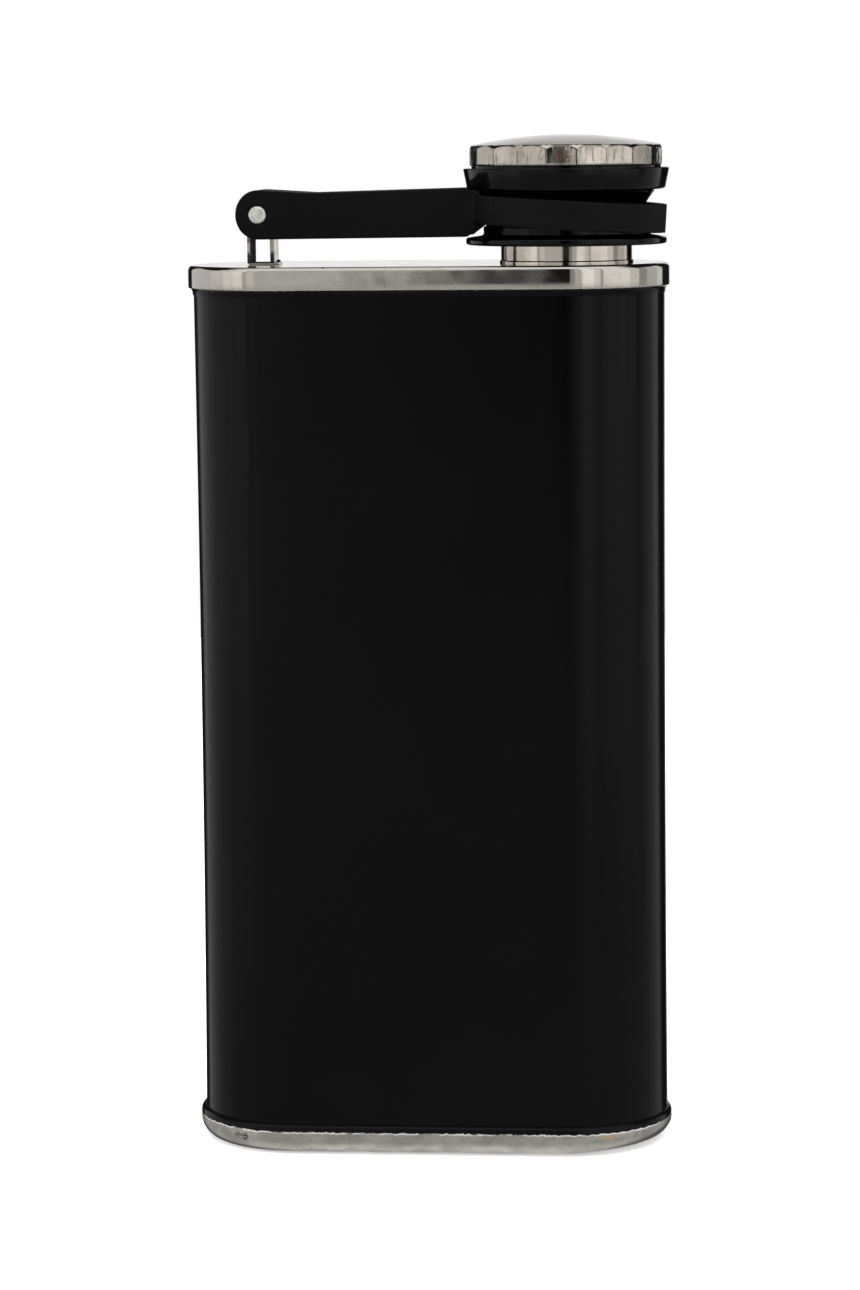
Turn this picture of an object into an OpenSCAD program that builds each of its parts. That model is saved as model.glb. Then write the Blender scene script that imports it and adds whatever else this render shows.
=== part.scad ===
// Hip flask with a wide mouth, a captive screw cap and a hinged lever arm.
// Millimetres, +Z up. The origin is the centre of the underside. The front faces -Y,
// the hinge is on the -X side and the cap is on the +X side.

/* [Flask body] */
// Width over the polished rims
rim_w = 74.2; // [74:0.1:84]
// Depth over the polished rims
rim_d = 32; // [31.4:0.2:36]
// Height of the top plate above the surface that the flask stands on
plate_z = 136.6; // [110:0.1:150]
// How far the painted tube lies inside the rims, all round
tube_inset = 0.78; // [0.6:0.02:1.0]
// Wall of the painted tube
tube_wall = 0.5; // [0.4:0.05:0.6]
// Sheet thickness of the stamped top and bottom
sheet_t = 0.7; // [0.5:0.05:0.8]

/* [Rims] */
// Height of the straight side of the bottom rim
bottom_rim_h = 3.84; // [3:0.02:5]
// Height of the bottom rim's rounded shoulder
bottom_shoulder_h = 0.9; // [0.6:0.1:1.2]
// Radius of the bottom rim's lower edge
bottom_edge_r = 2.2; // [1.6:0.1:2.6]
// Depth that the base panel is pressed in
base_recess = 0.8; // [0.4:0.1:1.2]
// Width of the flat foot round the base panel
base_foot_w = 2.6; // [2:0.1:4]
// Height of the straight side of the top rim
top_rim_h = 3.5; // [2.4:0.1:4]
// Height of the top rim's sloping lip
top_lip_h = 1.1; // [0.5:0.1:1.4]
// Radius of the top rim's upper edge
top_edge_r = 0.85; // [0.5:0.05:1.2]

/* [Neck] */
// Distance of the neck and cap axis from the middle of the flask
cap_x = 21.3; // [20.8:0.1:21.6]
// Outer radius of the neck
neck_r = 10.05; // [9.8:0.05:10.1]
// Radius of the mouth
mouth_r = 8.9; // [8.6:0.05:9]
// Height of the mouth above the top plate
neck_h = 11.7; // [11.2:0.1:11.7]
// Distance from one thread groove to the next
thread_pitch = 2; // [1.8:0.1:2.2]
// Depth of the thread grooves
thread_depth = 0.4; // [0.3:0.05:0.5]
// Radius of the seam ring round the foot of the neck
seam_r = 10.25; // [10.2:0.05:10.8]
// Height of the seam ring
seam_h = 0.5; // [0.4:0.1:0.9]

/* [Hinge] */
// Distance of the hinge pin from the middle of the flask, towards -X
pin_x = 25.6; // [25:0.1:26]
// Height of the hinge pin above the top plate
pin_h = 7.7; // [7.3:0.1:7.9]
// Radius of the hinge pin
pin_r = 1.35; // [1.2:0.05:1.4]
// Running clearance between the pin and its strap
pin_gap = 0.06; // [0.03:0.01:0.09]
// Thickness of the hinge strap
strap_t = 0.62; // [0.5:0.02:0.7]
// Width of the hinge strap along the pin
strap_w = 6; // [5:0.2:6.4]
// Thickness of the strap's base on the top plate
strap_base_t = 0.3; // [0.3:0.05:0.6]
// Length of the strap's foot beyond the leg
strap_foot = 0.7; // [0.4:0.1:1]

/* [Lever] */
// Width of the arm, along the pin
arm_w = 13; // [12:0.2:13.6]
// Half height of the arm's round end
boss_r = 3.76; // [3.6:0.02:3.8]
// Length of the arm's round end, as a share of its half height
boss_round = 0.9; // [0.85:0.01:1]
// Outer radius of the ring that holds the cap
ring_r = 15.3; // [15:0.05:15.4]
// Inner radius of the ring
ring_in_r = 13.1; // [13:0.05:13.3]
// Thickness of the ring
ring_t = 4.4; // [4:0.1:4.5]
// Height of the middle of the ring above the top plate
ring_h = 7.48; // [7.44:0.02:7.52]
// Droop of the ring towards +X, in degrees
ring_tilt = 3.4; // [2.6:0.1:3.5]
// Swing that the slot in the arm leaves free, in degrees
swing = 120; // [100:1:124]
// Clearance between the slot and the strap
slot_gap = 0.45; // [0.3:0.05:0.5]

/* [Cap] */
// Radius of the collar at its upper edge
collar_r = 15.75; // [15.5:0.05:15.9]
// Radius of the collar at its lower edge
collar_low_r = 15.25; // [14.9:0.05:15.3]
// Height of the collar's underside above the top plate
collar_h = 11.1; // [11.1:0.05:11.3]
// Height of the collar
collar_t = 3.35; // [2.9:0.05:3.4]
// Radius of the hub inside the lever ring
hub_r = 12.3; // [12.1:0.05:12.4]
// Radial clearance between the neck and the cap
neck_gap = 0.45; // [0.4:0.05:0.5]
// Radius of the retaining ring
retainer_r = 15.4; // [15.2:0.05:15.5]
// Height of the retaining ring's underside above the top plate
retainer_h = 2.8; // [2.7:0.05:2.85]
// Thickness of the retaining ring at its edge
retainer_t = 1.1; // [1:0.05:1.15]
// Thickness of the sealing disc
gasket_t = 1.5; // [1:0.1:1.6]

/* [Cap cover] */
// Outer radius of the fluted cover
cover_r = 15; // [14.8:0.05:15.1]
// Number of flutes
flutes = 20; // [16:2:24]
// Hollow of the flutes below their flat chord
flute_depth = 0.08; // [0.04:0.02:0.2]
// Height of the fluted band
band_h = 2.45; // [2.35:0.05:2.55]
// Height of the rounded shoulder above the band
cover_shoulder_h = 0.7; // [0.6:0.05:0.8]
// Rise of the domed top above the shoulder
dome_h = 1.5; // [1.4:0.05:1.6]

/* [Hidden] */
$fn = 96;
arc_steps = 10;
cut = 1;
fit_gap = 0.02;
seal_gap = 0.05;

rim_r = rim_d / 2;
flat_half = rim_w / 2 - rim_r;
tube_r = rim_r - tube_inset;
skirt_in_r = tube_r + fit_gap;
plate_under = plate_z - sheet_t;
tube_foot_z = max(base_recess + sheet_t, bottom_edge_r) + fit_gap;
foot_in_r = rim_r - bottom_edge_r - base_foot_w;

pin_z = plate_z + pin_h;
eye_r = pin_r + pin_gap;
strap_r = eye_r + strap_t;
neck_top = plate_z + neck_h;
neck_flange_t = 0.7;
neck_flange_r = 11.2;
lip_r = 0.35;
thread_foot = plate_z + 4.1;
thread_turns = 3;
seam_edge = 0.2;

arm_dip = 0.52;
arm_dip_x = 8;
arm_rise = 0.2;
arm_end_x = cap_x - 12;
ring_z = plate_z + ring_h;
relief_top_z = plate_z + 10.45;
relief_top_r = 14.5;
relief_edge_r = 16.1;
relief_edge_z = plate_z + 11.45;
relief_low_z = plate_z + 5.8;
relief_low_r = 14.1;
relief_foot_z = plate_z + 4.1;
relief_foot_r = 16.1;
ring_bevel = 0.7;
slot_r = strap_r + slot_gap;
slot_w = strap_w + 0.6;

collar_z = plate_z + collar_h;
collar_top = collar_z + collar_t;
collar_edge = 0.55;
cone_r = 13.5;
cone_h = 1.9;
bore_r = neck_r + neck_gap;
retainer_z = plate_z + retainer_h;
retainer_rise = 0.35;
retainer_seat_r = 11.8;
sleeve_r = 12.7;
sleeve_top = plate_z + 5.6;
retainer_edge = 0.35;
gasket_z = neck_top + seal_gap;
cap_ceiling = gasket_z + gasket_t;
core_r = 13.55;
seat_h = 0.35;
seat_r = cover_r - 0.3;
cover_z = collar_top + seat_h;
cover_in_r = core_r + fit_gap;
shoulder_run = 0.55;
cover_t = 0.5;
band_top = cover_z + band_h;
dome_z = band_top + cover_shoulder_h;
dome_r = cover_r - shoulder_run;

flute_half = cover_r * sin(180 / flutes);
flute_r = (flute_depth * flute_depth + flute_half * flute_half) / (2 * flute_depth);
flute_at = cover_r * cos(180 / flutes) - flute_depth + flute_r;

// Points of an elliptical arc from angle a to angle b
function arc(cx, cz, rx, rz, a, b) =
    [for (i = [0 : arc_steps]) let (t = a + (b - a) * i / arc_steps)
        [cx + rx * cos(t), cz + rz * sin(t)]];

// Points of a shallow dome from radius r at height z to its crown, h higher
function dome(r, z, h) =
    [for (i = [0 : arc_steps]) let (x = r * (1 - i / arc_steps))
        [x, z + h * (1 - x * x / (r * r))]];

// Zigzag of thread grooves from radius a to radius b, upwards
function grooves(a, b, z0) =
    [for (i = [0 : thread_turns - 1], k = [0 : 3])
        [k == 1 || k == 2 ? b : a, z0 + thread_pitch * (i + [0.15, 0.4, 0.6, 0.85][k])]];

// Half-width profile carried round the flask's outline: flat front and back, round ends
module round_ended(profile) {
    for (side = [-1, 1])
        translate([side * flat_half, 0, 0]) rotate([0, 0, -90 * side])
            rotate_extrude(angle = 180) polygon(profile);
    rotate([90, 0, 90]) linear_extrude(2 * flat_half, center = true) {
        polygon(profile);
        mirror([1, 0]) polygon(profile);
    }
}

module outline(r) {
    square([2 * flat_half, 2 * r], center = true);
    for (side = [-1, 1]) translate([side * flat_half, 0]) circle(r);
}

module on_cap_axis() {
    translate([cap_x, 0, 0]) children();
}

// Side outline in the X-Z plane, extruded along the hinge pin and centred on it
module along_pin(width) {
    translate([-pin_x, 0, pin_z]) rotate([90, 0, 0]) linear_extrude(width, center = true) children();
}

module body_tube() {
    color("#141414")
    translate([0, 0, tube_foot_z]) linear_extrude(plate_under - fit_gap - tube_foot_z)
    difference() {
        outline(tube_r);
        outline(tube_r - tube_wall);
    }
}

module bottom_cap() {
    bottom_edge = arc(rim_r - bottom_edge_r, bottom_edge_r, bottom_edge_r, bottom_edge_r, -90, 0);
    shoulder = arc(skirt_in_r, bottom_rim_h, rim_r - skirt_in_r, bottom_shoulder_h, 0, 85);
    inner_edge = arc(rim_r - bottom_edge_r, bottom_edge_r, skirt_in_r - rim_r + bottom_edge_r,
                     bottom_edge_r - sheet_t, 0, -90);
    color("silver")
    round_ended(concat(
        [[0, base_recess], [foot_in_r - base_recess, base_recess], [foot_in_r, 0]],
        bottom_edge, shoulder,
        [[skirt_in_r, bottom_rim_h + bottom_shoulder_h]], inner_edge,
        [[foot_in_r + sheet_t / 2, sheet_t], [foot_in_r - sheet_t / 2, base_recess + sheet_t],
         [0, base_recess + sheet_t]]));
}

module top_cap() {
    top_edge = arc(rim_r - top_edge_r, plate_z - top_edge_r, top_edge_r, top_edge_r, 0, 90);
    color("silver")
    difference() {
        round_ended(concat(
            [[0, plate_under], [skirt_in_r, plate_under],
             [skirt_in_r, plate_z - top_rim_h - top_lip_h],
             [skirt_in_r + 0.1, plate_z - top_rim_h - top_lip_h], [rim_r, plate_z - top_rim_h]],
            top_edge, [[0, plate_z]]));
        on_cap_axis() translate([0, 0, plate_under - cut]) 
            cylinder(sheet_t + 2 * cut, neck_r + fit_gap, neck_r + fit_gap);
    }
}

module neck() {
    lip_out = arc(neck_r - lip_r, neck_top - lip_r, lip_r, lip_r, 0, 90);
    lip_in = arc(mouth_r + lip_r, neck_top - lip_r, lip_r, lip_r, 90, 180);
    color("silver")
    on_cap_axis() rotate_extrude() polygon(concat(
        [[mouth_r, plate_under - neck_flange_t], [neck_flange_r, plate_under - neck_flange_t],
         [neck_flange_r, plate_under], [neck_r, plate_under]],
        grooves(neck_r, neck_r - thread_depth, thread_foot), lip_out, lip_in));
}

module neck_seam_ring() {
    top_edge = arc(seam_r - seam_edge, plate_z + seam_h - seam_edge, seam_edge, seam_edge, 0, 90);
    color("silver")
    on_cap_axis() rotate_extrude() polygon(concat(
        [[neck_r, plate_z], [seam_r, plate_z]], top_edge, [[neck_r, plate_z + seam_h]]));
}

module hinge_strap() {
    color("silver")
    along_pin(strap_w) difference() {
        union() {
            circle(strap_r);
            translate([-strap_r, -pin_h]) square([2 * strap_r, pin_h]);
            translate([-strap_r, -pin_h]) square([2 * strap_r + strap_foot, strap_base_t]);
        }
        circle(eye_r);
        translate([-eye_r, strap_base_t - pin_h]) square([2 * eye_r, pin_h - strap_base_t]);
    }
}

module hinge_pin() {
    color("silver")
    along_pin(arm_w) circle(pin_r);
}

// Side outline of the arm, from the round end to the cap ring, with the pin at the origin
module arm_outline() {
    end = pin_x + arm_end_x;
    scale([boss_round, 1]) circle(boss_r);
    polygon([[0, -boss_r], [end, -boss_r + arm_rise], [end, boss_r + arm_rise / 2],
             [arm_dip_x, boss_r - arm_dip], [0, boss_r]]);
}

// Opening in the arm that lets the strap pass from below to its limit behind
module slot_outline() {
    reach = 2 * boss_r;
    limit = 270 - swing;
    corner = slot_r * [cos(limit - 90), sin(limit - 90)];
    circle(slot_r);
    polygon([[slot_r, 0], [slot_r, -reach], [-reach, -reach],
             corner + 2 * reach * [cos(limit), sin(limit)], corner]);
}

// Room in the arm for the collar above it and for the retaining ring below it
module arm_reliefs() {
    on_cap_axis() rotate_extrude() {
        polygon([[0, relief_top_z], [relief_top_r, relief_top_z], [relief_edge_r, relief_edge_z],
                 [relief_edge_r, collar_z + cut], [0, collar_z + cut]]);
        polygon([[0, relief_low_z], [relief_low_r, relief_low_z], [relief_foot_r, relief_foot_z],
                 [relief_foot_r + cut, plate_z], [0, plate_z]]);
    }
}

module on_ring_axis() {
    translate([cap_x, 0, ring_z]) rotate([0, ring_tilt, 0]) children();
}

module lever() {
    color("#1c1c1c")
    difference() {
        union() {
            difference() {
                along_pin(arm_w) arm_outline();
                arm_reliefs();
                along_pin(slot_w) slot_outline();
            }
            on_ring_axis() cylinder(ring_t, ring_r, ring_r, center = true);
        }
        on_ring_axis() cylinder(4 * ring_t, ring_in_r, ring_in_r, center = true);
        on_ring_axis() translate([0, 0, ring_t / 2 - ring_bevel])
            cylinder(ring_bevel + cut, ring_in_r, ring_in_r + ring_bevel + cut);
        along_pin(arm_w + 2 * cut) circle(pin_r);
    }
}

module cap_body() {
    low_edge = arc(collar_low_r - collar_edge, collar_z + collar_edge,
                   collar_edge, collar_edge, -90, 0);
    core_edge = arc(core_r - shoulder_run, band_top, shoulder_run, cover_shoulder_h - cover_t, 0, 75);
    color("#0c0c0c")
    on_cap_axis() rotate_extrude() polygon(concat(
        grooves(bore_r, bore_r + thread_depth, retainer_z + 2),
        [[bore_r, cap_ceiling], [0, cap_ceiling], [0, dome_z + dome_h - cover_t]],
        [for (i = [len(core_edge) - 1 : -1 : 0]) core_edge[i]],
        [[core_r, cover_z - fit_gap], [seat_r, cover_z - fit_gap], [seat_r, collar_top],
         [collar_r - 0.15, collar_top], [collar_r, collar_top - 0.15]],
        [for (i = [len(low_edge) - 1 : -1 : 0]) low_edge[i]],
        [[cone_r, collar_z], [hub_r, collar_z - cone_h], [hub_r, sleeve_top],
         [retainer_seat_r, sleeve_top], [retainer_seat_r, retainer_z + 0.2], [bore_r, retainer_z + 0.2]]));
}

module retaining_ring() {
    outer = retainer_r - retainer_edge;
    low = arc(outer, retainer_z + retainer_edge, retainer_edge, retainer_edge, -90, 0);
    high = arc(outer, retainer_z + retainer_t - retainer_edge, retainer_edge, retainer_edge, 0, 90);
    color("#0c0c0c")
    on_cap_axis() rotate_extrude() polygon(concat(
        [[retainer_seat_r, retainer_z]], low, high,
        [[sleeve_r, retainer_z + retainer_t + retainer_rise], [sleeve_r, sleeve_top],
         [retainer_seat_r, sleeve_top]]));
}

module cap_cover() {
    shoulder = arc(dome_r, band_top, shoulder_run, cover_shoulder_h, 0, 75);
    inside = arc(core_r - shoulder_run, band_top, shoulder_run, cover_shoulder_h - cover_t, 75, 0);
    run_out = shoulder[arc_steps];
    color("silver")
    on_cap_axis() difference() {
        rotate_extrude() polygon(concat(
            [[cover_in_r, cover_z], [cover_r, cover_z]], shoulder,
            dome(run_out[0], run_out[1], dome_z + dome_h - run_out[1]),
            [[0, dome_z + dome_h - cover_t + fit_gap]],
            [for (p = inside) p + [fit_gap, fit_gap]]));
        for (i = [0 : flutes - 1])
            rotate([0, 0, i * 360 / flutes]) translate([flute_at, 0, cover_z - cut])
                cylinder(band_h + cover_shoulder_h + 2 * cut, flute_r, flute_r);
    }
}

module cap_gasket() {
    color("#d8d4cc")
    on_cap_axis() translate([0, 0, gasket_z]) cylinder(gasket_t, bore_r, bore_r);
}

body_tube();
bottom_cap();
top_cap();
neck();
neck_seam_ring();
hinge_strap();
hinge_pin();
lever();
cap_body();
retaining_ring();
cap_cover();
cap_gasket();
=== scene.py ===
import math

import bmesh
import bpy
from mathutils import Matrix, Vector, geometry, noise


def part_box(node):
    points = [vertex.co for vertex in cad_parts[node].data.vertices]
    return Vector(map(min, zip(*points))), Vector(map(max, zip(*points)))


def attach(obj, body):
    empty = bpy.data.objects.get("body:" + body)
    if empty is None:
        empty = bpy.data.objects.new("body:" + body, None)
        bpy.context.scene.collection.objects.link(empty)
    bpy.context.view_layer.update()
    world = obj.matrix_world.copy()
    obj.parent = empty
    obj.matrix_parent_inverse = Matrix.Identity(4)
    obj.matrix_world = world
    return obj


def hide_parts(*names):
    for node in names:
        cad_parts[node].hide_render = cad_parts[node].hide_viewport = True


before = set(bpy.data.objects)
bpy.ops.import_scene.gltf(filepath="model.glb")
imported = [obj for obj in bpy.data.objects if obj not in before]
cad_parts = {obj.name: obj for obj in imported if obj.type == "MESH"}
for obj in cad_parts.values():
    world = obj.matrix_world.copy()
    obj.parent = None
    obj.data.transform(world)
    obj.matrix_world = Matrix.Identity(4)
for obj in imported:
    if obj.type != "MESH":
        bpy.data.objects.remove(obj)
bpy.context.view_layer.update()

MM = 0.001

# ---------------------------------------------------------------- places, from the frame

TOP_LO, TOP_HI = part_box("top_cap")
BASE_LO, BASE_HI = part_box("bottom_cap")
TUBE_LO, TUBE_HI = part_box("body_tube")
NECK_LO, NECK_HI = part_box("neck")
SEAM_LO, SEAM_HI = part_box("neck_seam_ring")
STRAP_LO, STRAP_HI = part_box("hinge_strap")
PIN_LO, PIN_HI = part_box("hinge_pin")
BODY_LO, BODY_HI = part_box("cap_body")
RETAINER_LO, RETAINER_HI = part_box("retaining_ring")
COVER_LO, COVER_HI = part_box("cap_cover")
SEAL_LO, SEAL_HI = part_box("cap_gasket")

PLATE_Z = TOP_HI.z
RIM_R = TOP_HI.y
FLAT_HALF = TOP_HI.x - RIM_R
TUBE_R = TUBE_HI.y
CAP_X = (NECK_LO.x + NECK_HI.x) / 2
PIN_X = (PIN_LO.x + PIN_HI.x) / 2
PIN_Z = (PIN_LO.z + PIN_HI.z) / 2
PIN_R = (PIN_HI.z - PIN_LO.z) / 2

# Sizes that a piece shares with its material or with a neighbour
BAND_H = 3.5 * MM
BASE_BAND_TOP = BASE_LO.z + 3.84 * MM
BASE_PAINT_Z = BASE_LO.z + 3.66 * MM
STRAP_OUTER_R = 2.03 * MM
STRAP_INNER_R = 1.41 * MM
SKIRT_R = TUBE_R + 0.02 * MM


# ---------------------------------------------------------------- mesh tools

def arc(cx, cz, rx, rz, a, b, steps=8):
    """Points of an elliptical arc from angle a to angle b, in degrees."""
    points = []
    for i in range(steps + 1):
        t = math.radians(a + (b - a) * i / steps)
        points.append((cx + rx * math.cos(t), cz + rz * math.sin(t)))
    return points


def line(a, b, steps):
    """Evenly spaced points from a towards b, without b itself."""
    return [(a[0] + (b[0] - a[0]) * i / steps, a[1] + (b[1] - a[1]) * i / steps) for i in range(steps)]


def finish_mesh(bm, name, material, sharp=35):
    """Makes the object of a closed bmesh: normals outwards, smooth, creased at sharp edges."""
    bmesh.ops.remove_doubles(bm, verts=bm.verts, dist=1e-7)
    bmesh.ops.dissolve_degenerate(bm, edges=bm.edges, dist=1e-7)
    bmesh.ops.recalc_face_normals(bm, faces=bm.faces)
    mesh = bpy.data.meshes.new(name)
    bm.to_mesh(mesh)
    bm.free()
    mesh.shade_smooth()
    mesh.set_sharp_from_angle(angle=math.radians(sharp))
    piece = bpy.data.objects.new(name, mesh)
    bpy.context.scene.collection.objects.link(piece)
    mesh.materials.append(material)
    return piece


def join_rings(bm, rings, close_profile):
    """Quads between successive closed rings, and from the last ring to the first if asked."""
    count = len(rings)
    for i in range(count if close_profile else count - 1):
        lower, upper = rings[i], rings[(i + 1) % count]
        if len(lower) == len(upper) == 1:
            continue
        steps = max(len(lower), len(upper))
        for j in range(steps):
            k = (j + 1) % steps
            if len(lower) == 1:
                bm.faces.new((lower[0], upper[j], upper[k]))
            elif len(upper) == 1:
                bm.faces.new((lower[j], lower[k], upper[0]))
            else:
                bm.faces.new((lower[j], lower[k], upper[k], upper[j]))


def turns(steps):
    """Angles all the way round in that many steps."""
    return [2 * math.pi * j / steps for j in range(steps)]


def revolve(bm, profile, steps, shape=None):
    """Turns a closed (radius, height) profile about the cap's axis. shape may move each point."""
    rings = []
    for r, z in profile:
        if r < 1e-6:
            rings.append([bm.verts.new((CAP_X, 0, z))])
            continue
        ring = []
        for t in turns(steps):
            rr, zz = shape(r, z, t) if shape else (r, z)
            ring.append(bm.verts.new((CAP_X + rr * math.cos(t), rr * math.sin(t), zz)))
        rings.append(ring)
    join_rings(bm, rings, True)


OUTLINE_ARC = 64
OUTLINE_STRAIGHT = 24


def outline_ring(bm, r, z, draw_in=(0.0, 0.0)):
    """One ring round the flask, at distance r from the line that joins the centres of its round ends.

    draw_in shortens that line at its +X and -X ends."""
    ring = []
    ends = (FLAT_HALF - draw_in[0], -FLAT_HALF + draw_in[1])
    for i, side in ((0, 1), (1, -1)):
        for j in range(OUTLINE_ARC + 1):
            t = math.radians(-90 + 180 * j / OUTLINE_ARC)
            x = ends[i] + side * r * math.cos(t)
            ring.append(bm.verts.new((x, side * r * math.sin(t), z)))
        for j in range(1, OUTLINE_STRAIGHT):
            x = ends[i] + (ends[1 - i] - ends[i]) * j / OUTLINE_STRAIGHT
            ring.append(bm.verts.new((x, side * r, z)))
    return ring


def fill_across(bm, ring):
    """Closes a ring with strips between its front and back points."""
    order = sorted(ring, key=lambda v: (round(v.co.x, 8), v.co.y))
    columns = {}
    for v in order:
        columns.setdefault(round(v.co.x, 7), []).append(v)
    xs = sorted(columns)
    for a, b in zip(xs, xs[1:]):
        left, right = columns[a], columns[b]
        face = [left[0], right[0]]
        if len(right) > 1:
            face.append(right[-1])
        if len(left) > 1:
            face.append(left[-1])
        if len(face) > 2:
            bm.faces.new(face)


def fill_with_hole(bm, ring, hole):
    """Closes the flat area between a ring and a hole in it."""
    verts = ring + hole
    points = [Vector((v.co.x, v.co.y)) for v in verts]
    edges = []
    for first, loop in ((0, ring), (len(ring), hole)):
        edges += [(first + j, first + (j + 1) % len(loop)) for j in range(len(loop))]
    result = geometry.delaunay_2d_cdt(points, edges, [], 0, 1e-9)
    originals = result[3]
    for face in result[2]:
        corners = [verts[originals[i][0]] for i in face]
        middle = sum((v.co for v in corners), Vector()) / len(corners)
        reach = math.hypot(middle.x - CAP_X, middle.y)
        if reach > min(math.hypot(v.co.x - CAP_X, v.co.y) for v in hole) * 0.999:
            bm.faces.new(corners)


def smooth_share(value, low, high):
    """0 below low, 1 above high and an even curve between."""
    share = min(1.0, max(0.0, (value - low) / (high - low)))
    return share * share * (3 - 2 * share)


def apply_modifiers(piece):
    """Replaces the piece's mesh by what its modifiers make of it."""
    graph = bpy.context.evaluated_depsgraph_get()
    made = bpy.data.meshes.new_from_object(piece.evaluated_get(graph))
    old = piece.data
    piece.modifiers.clear()
    piece.data = made
    made.name = piece.name
    bpy.data.meshes.remove(old)


# ---------------------------------------------------------------- material tools

class NodeTree:
    """A node tree, with short calls for the nodes used here."""

    def __init__(self, tree):
        self.tree = tree

    def add(self, kind, **settings):
        node = self.tree.nodes.new(kind)
        for key, value in settings.items():
            setattr(node, key, value)
        return node

    def link(self, value, socket):
        if isinstance(value, bpy.types.NodeSocket):
            self.tree.links.new(value, socket)
        else:
            socket.default_value = value

    def math(self, operation, a, b=0.0, clamp=False):
        node = self.add("ShaderNodeMath", operation=operation, use_clamp=clamp)
        self.link(a, node.inputs[0])
        self.link(b, node.inputs[1])
        return node.outputs[0]

    def times(self, a, b):
        return self.math("MULTIPLY", a, b)

    def plus(self, a, b):
        return self.math("ADD", a, b)

    def minus(self, a, b):
        return self.math("SUBTRACT", a, b)

    def ramp(self, value, low, high, out_low=0.0, out_high=1.0):
        """Value carried smoothly from low..high to out_low..out_high, and held outside."""
        node = self.add("ShaderNodeMapRange", interpolation_type="SMOOTHSTEP")
        self.link(value, node.inputs["Value"])
        limits = (("From Min", low), ("From Max", high), ("To Min", out_low), ("To Max", out_high))
        for key, amount in limits:
            node.inputs[key].default_value = amount
        return node.outputs["Result"]

    def mix(self, fac, a, b, kind="RGBA"):
        """Colour a where fac is 0 and b where it is 1, or two plain numbers with kind FLOAT."""
        node = self.add("ShaderNodeMix", data_type=kind)
        self.link(fac, node.inputs["Factor"])
        self.link(a, node.inputs["A"])
        self.link(b, node.inputs["B"])
        return node.outputs["Result"]


class Nodes(NodeTree):
    """The nodes of a new material, whose textures lie in the object's own metres."""

    def __init__(self, name):
        self.material = bpy.data.materials.new(name)
        self.material.use_nodes = True
        super().__init__(self.material.node_tree)
        self.shader = self.tree.nodes["Principled BSDF"]
        self.place = self.add("ShaderNodeTexCoord").outputs["Object"]

    def scaled(self, x=1.0, y=1.0, z=1.0, place=None):
        node = self.add("ShaderNodeVectorMath", operation="MULTIPLY")
        self.link(place or self.place, node.inputs[0])
        node.inputs[1].default_value = (x, y, z)
        return node.outputs[0]

    def noise(self, size, detail=3.0, roughness=0.55, place=None, stretch=(1, 1, 1)):
        """Noise with features of about that size in metres, from 0 to 1."""
        node = self.add("ShaderNodeTexNoise")
        self.link(self.scaled(*stretch, place=place), node.inputs["Vector"])
        node.inputs["Scale"].default_value = 1 / size
        node.inputs["Detail"].default_value = detail
        node.inputs["Roughness"].default_value = roughness
        return node.outputs["Fac"]

    def cells(self, size):
        """Distance to the nearest of points scattered about that far apart in metres, over that size."""
        node = self.add("ShaderNodeTexVoronoi", feature="F1")
        self.link(self.place, node.inputs["Vector"])
        node.inputs["Scale"].default_value = 1 / size
        return node.outputs["Distance"]

    def axis(self, name):
        node = self.add("ShaderNodeSeparateXYZ")
        self.link(self.place, node.inputs[0])
        return node.outputs[name]

    def bump(self, height, distance, normal=None):
        node = self.add("ShaderNodeBump")
        node.inputs["Distance"].default_value = distance
        node.inputs["Strength"].default_value = 1.0
        self.link(height, node.inputs["Height"])
        if normal is not None:
            self.link(normal, node.inputs["Normal"])
        return node.outputs["Normal"]

    def edges(self, low, high):
        """1 on the mesh's convex edges and 0 on its flats."""
        return self.ramp(self.add("ShaderNodeNewGeometry").outputs["Pointiness"], low, high)

    def finish(self, color, rough, normal=None, **settings):
        """Joins everything to the shader. A setting is a shader input's name in small letters."""
        self.link(color, self.shader.inputs["Base Color"])
        self.link(rough, self.shader.inputs["Roughness"])
        if normal is not None:
            self.link(normal, self.shader.inputs["Normal"])
        for key, value in settings.items():
            name = key.replace("_", " ").title().replace("Ior", "IOR")
            self.link(value, self.shader.inputs[name])
        return self.material


def rgb(r, g, b):
    return (r, g, b, 1.0)


STEEL = rgb(0.5, 0.48, 0.434)
COVER_STEEL = rgb(0.5, 0.458, 0.408)
NECK_STEEL = rgb(0.5, 0.456, 0.408)
PAINT = rgb(0.0008, 0.0008, 0.0009)
RUBBED_PAINT = rgb(0.0012, 0.0012, 0.0013)
# The tube's black paint made lighter for the base's shoulder: painted light that fills in the shade there.
LIGHTENED_SHOULDER_PAINT = rgb(0.0026, 0.0026, 0.0027)
PAINT_GLOSS = 0.105
SHOULDER_GLOSS = 0.09
# The strap's tarnish colour, also used as its painted shade.
TARNISH_AND_SHADE = rgb(0.02, 0.02, 0.015)


def spot(n, x, y, z, radius):
    """A ragged round mark at a place on the surface, from 0 to 1."""
    node = n.add("ShaderNodeVectorMath", operation="DISTANCE")
    n.link(n.place, node.inputs[0])
    node.inputs[1].default_value = (x, y, z)
    ragged = n.times(n.minus(n.noise(0.5 * MM, 2), 0.5), radius)
    return n.ramp(n.plus(node.outputs["Value"], ragged), radius, radius * 0.6)


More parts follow.
